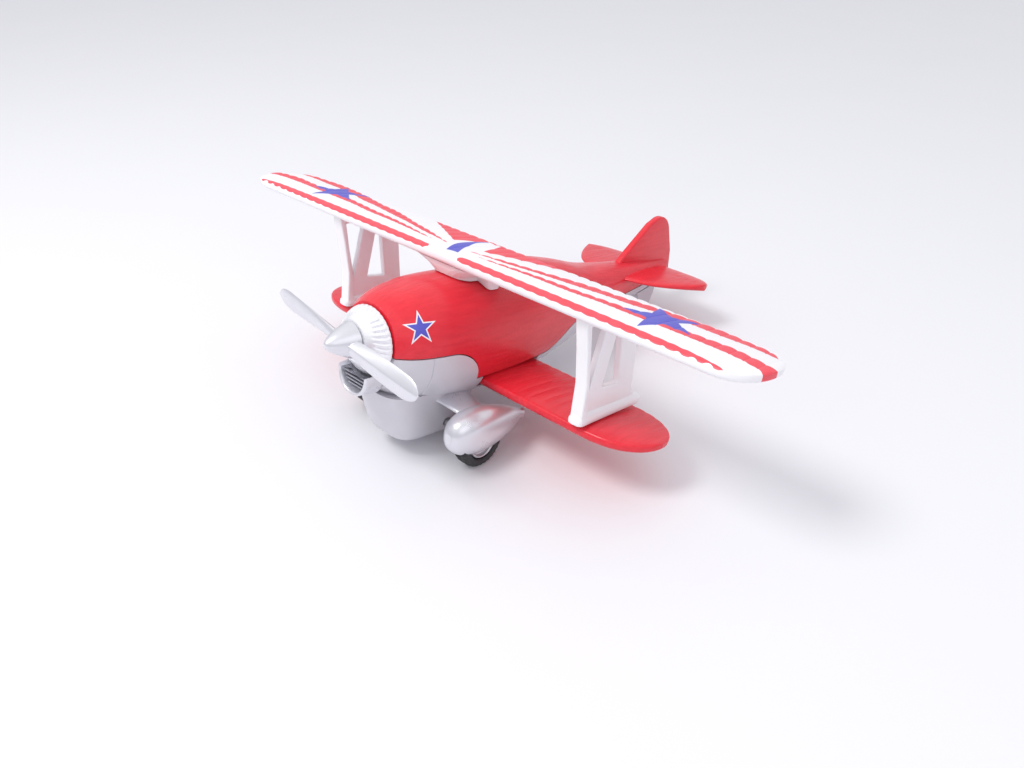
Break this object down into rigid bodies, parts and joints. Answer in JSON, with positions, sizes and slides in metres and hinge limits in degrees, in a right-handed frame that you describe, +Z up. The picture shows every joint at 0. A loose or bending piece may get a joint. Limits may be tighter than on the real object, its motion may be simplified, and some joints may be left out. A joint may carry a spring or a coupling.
{
  "type": "die-cast toy biplane",
  "caption": "Die-cast pull-back toy biplane on its wheels, with a turning propeller, rolling wheels, N struts and red, white and silver parts.",
  "frame": {"origin": "on the floor under the middle of the parked aircraft's outline", "axes": "+X to the aircraft's left wing tip, +Y aft, +Z up; parked nose-up by 11 degrees on its three wheels"},
  "size_m": [0.1652, 0.1312, 0.0467],
  "materials": {
    "red_paint": "gloss red enamel over die-cast zinc",
    "white_plastic": "white moulded plastic, wing top printed with red stripes and blue stars",
    "grey_plastic": "light silver-grey moulded plastic",
    "silver_plastic": "silver-coloured moulded plastic",
    "dark_silver": "darker silver in the intake",
    "steel": "plain drawn steel pins",
    "black_rubber": "matt black",
    "black_plastic": "plain motor case",
    "smoked_plastic": "clear smoked plastic"
  },
  "bodies": {
    "airframe": {"fuselage_body": "red_paint", "lower_wing": "red_paint", "tailplane": "red_paint", "fin": "red_paint", "upper_wing": "white_plastic", "centre_pylon": "white_plastic", "strut_left": "white_plastic", "strut_right": "white_plastic", "belly_base": "grey_plastic", "tail_wheel_fork": "grey_plastic", "nose_cone": "silver_plastic", "chin_intake": "silver_plastic", "intake_grille": "dark_silver", "gear_left": "silver_plastic", "gear_right": "silver_plastic", "pull_back_motor": "black_plastic", "windscreen": "smoked_plastic"},
    "propeller": {"propeller": "silver_plastic", "propeller_shaft": "steel"},
    "main_wheels": {"main_axle": "steel", "wheel_hub_left": "silver_plastic", "wheel_hub_right": "silver_plastic", "tyre_left": "black_rubber", "tyre_right": "black_rubber"},
    "tail_wheel": {"tail_wheel": "black_rubber", "tail_wheel_pin": "steel"}
  },
  "joints": [
    {"name": "propeller_spin", "type": "hinge", "parent": "airframe", "child": "propeller", "pos_m": [0, -0.06045, 0.03482], "axis": [0, 0.9816, -0.1908], "continuous": true},
    {"name": "main_wheels_roll", "type": "hinge", "parent": "airframe", "child": "main_wheels", "pos_m": [0, -0.03947, 0.0065], "axis": [1, 0, 0], "continuous": true},
    {"name": "tail_wheel_roll", "type": "hinge", "parent": "airframe", "child": "tail_wheel", "pos_m": [0, 0.0506, 0.0034], "axis": [1, 0, 0], "continuous": true}
  ]
}
